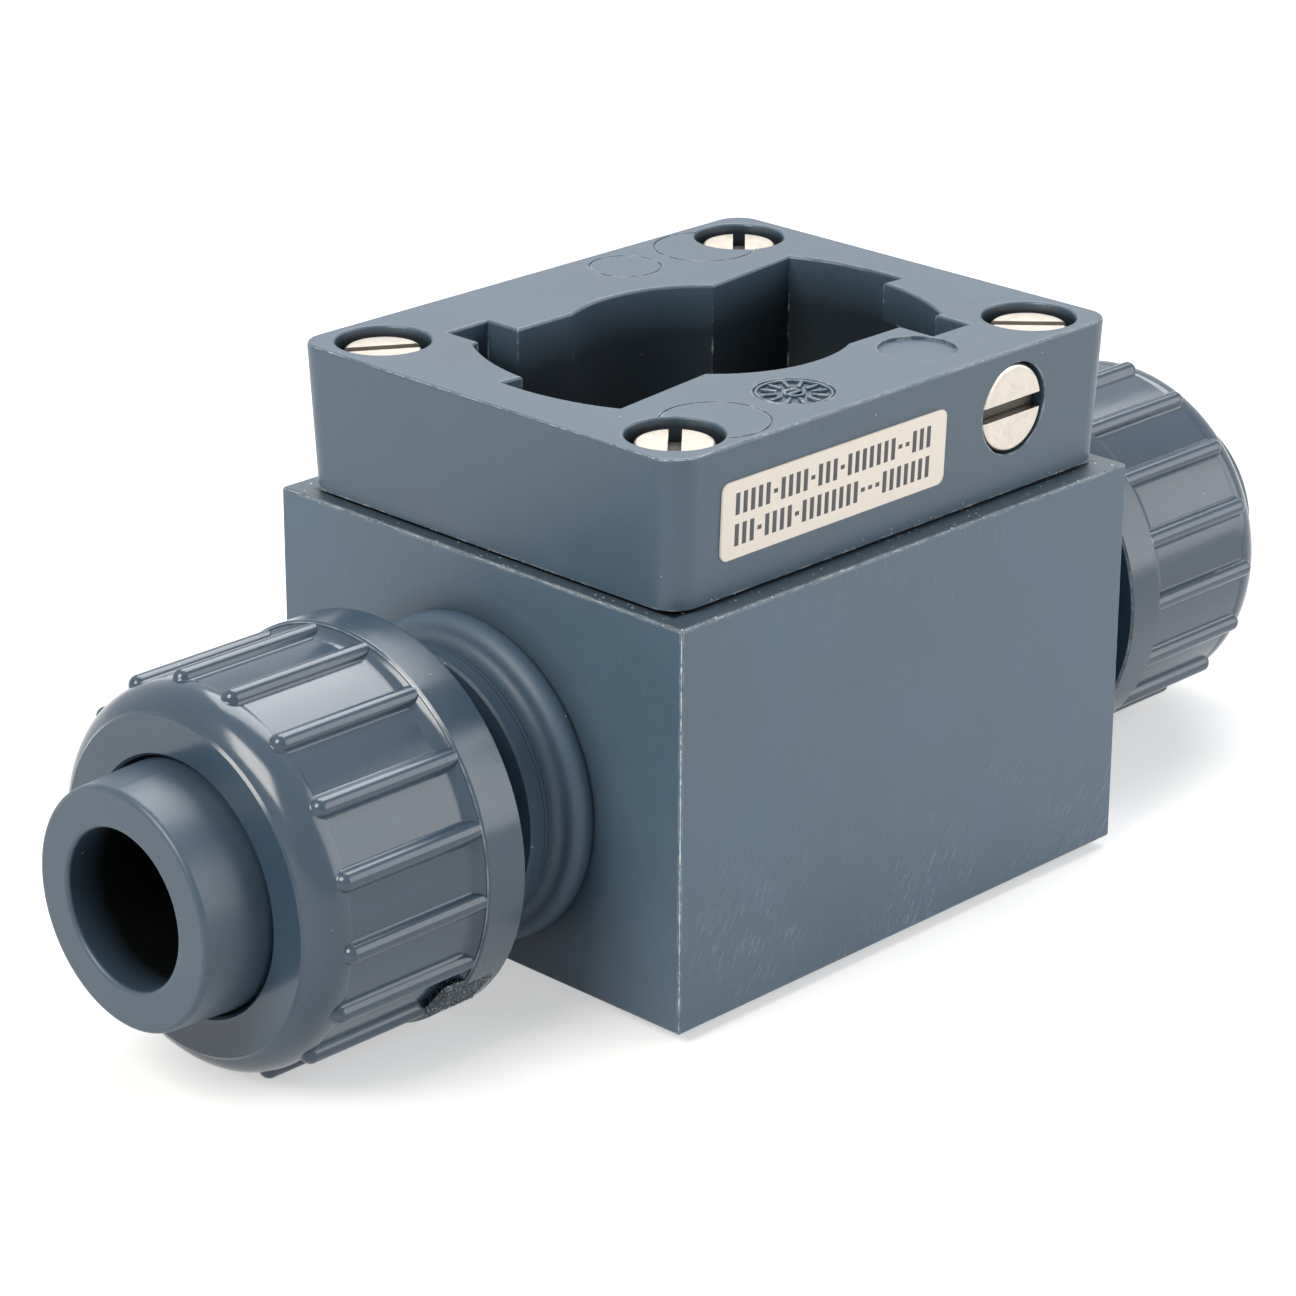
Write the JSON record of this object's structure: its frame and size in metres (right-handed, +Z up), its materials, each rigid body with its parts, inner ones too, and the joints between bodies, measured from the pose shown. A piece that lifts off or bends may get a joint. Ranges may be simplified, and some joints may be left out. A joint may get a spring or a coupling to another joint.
{
  "type": "turbine flow meter",
  "caption": "Inline paddle-wheel flow meter body: machined block with an open bayonet housing on top, a paddle wheel in the flow bore and a ribbed union nut with a pipe socket at each end.",
  "frame": {"origin": "centre of the bounding box on its lowest plane, which the two union nuts touch", "axes": "+X along the pipe, -Y the side with the label and the locking screw, +Z up to the open bayonet housing"},
  "size_m": [0.119, 0.043, 0.045],
  "materials": {
    "block_pvc": "machined rigid PVC, satin blue-grey, sharp edges worn pale",
    "housing_pvc": "moulded rigid PVC, satin blue-grey",
    "gasket_rubber": "black sheet seal",
    "screw_steel": "plain stainless steel, turned",
    "insert_brass": "plain brass",
    "lock_screw_steel": "plain stainless steel, turned face",
    "washer_steel": "plain stainless steel",
    "lock_insert_brass": "plain brass",
    "label_film": "cream adhesive film, matt",
    "holder_plastic": "moulded rigid PVC, satin grey",
    "holder_seal_rubber": "black rubber",
    "bearing_ceramic": "white ceramic",
    "axle_ceramic": "white ceramic, ground",
    "wheel_plastic": "natural white plastic",
    "magnet_metal": "dull sintered metal",
    "bush_pvc": "moulded rigid PVC, half gloss grey",
    "face_seal_rubber": "black rubber",
    "nut_pvc": "moulded rigid PVC, half gloss dark grey",
    "union_end_pvc": "moulded rigid PVC, half gloss dark grey"
  },
  "bodies": {
    "fitting": {"base_block": "block_pvc", "sensor_housing": "housing_pvc", "housing_gasket": "gasket_rubber", "cover_screws": "screw_steel", "screw_inserts": "insert_brass", "lock_insert": "lock_insert_brass", "label": "label_film", "wheel_holder": "holder_plastic", "holder_seal": "holder_seal_rubber", "front_bearing": "bearing_ceramic", "rear_bearing": "bearing_ceramic", "left_union_bush": "bush_pvc", "right_union_bush": "bush_pvc", "left_face_seal": "face_seal_rubber", "right_face_seal": "face_seal_rubber"},
    "wheel": {"paddle_wheel": "wheel_plastic", "wheel_axle": "axle_ceramic", "wheel_magnets": "magnet_metal"},
    "left_end": {"left_union_end": "union_end_pvc"},
    "left_nut": {"left_union_nut": "nut_pvc"},
    "right_end": {"right_union_end": "union_end_pvc"},
    "right_nut": {"right_union_nut": "nut_pvc"},
    "lock_washer": {"lock_washer": "washer_steel"},
    "lock_screw": {"lock_screw": "lock_screw_steel"}
  },
  "joints": [
    {"name": "wheel_spin", "type": "hinge", "parent": "fitting", "child": "wheel", "pos_m": [0, 0, 0.02], "axis": [0, 1, 0], "continuous": true},
    {"name": "left_end_slide", "type": "slide", "parent": "fitting", "child": "left_end", "axis": [-1, 0, 0], "range_m": [0, 0.008]},
    {"name": "left_nut_turn", "type": "hinge", "parent": "left_end", "child": "left_nut", "pos_m": [-0.052, 0, 0.0155], "axis": [-1, 0, 0], "range_deg": [0, 1440]},
    {"name": "right_end_slide", "type": "slide", "parent": "fitting", "child": "right_end", "axis": [1, 0, 0], "range_m": [0, 0.008]},
    {"name": "right_nut_turn", "type": "hinge", "parent": "right_end", "child": "right_nut", "pos_m": [0.052, 0, 0.0155], "axis": [1, 0, 0], "range_deg": [0, 1440]},
    {"name": "lock_washer_slide", "type": "slide", "parent": "fitting", "child": "lock_washer", "axis": [0, -1, 0], "range_m": [0, 0.0024]},
    {"name": "lock_screw_turn", "type": "hinge", "parent": "lock_washer", "child": "lock_screw", "pos_m": [0.0128, -0.018, 0.0402], "axis": [0, -1, 0], "range_deg": [0, 1234.5]}
  ],
  "couplings": [
    {"joint": "left_end_slide", "follows": "left_nut_turn", "m_per_rad": 0.00031831},
    {"joint": "right_end_slide", "follows": "right_nut_turn", "m_per_rad": 0.00031831},
    {"joint": "lock_screw_turn", "follows": "lock_washer_slide", "rad_per_m": 8975.9}
  ]
}
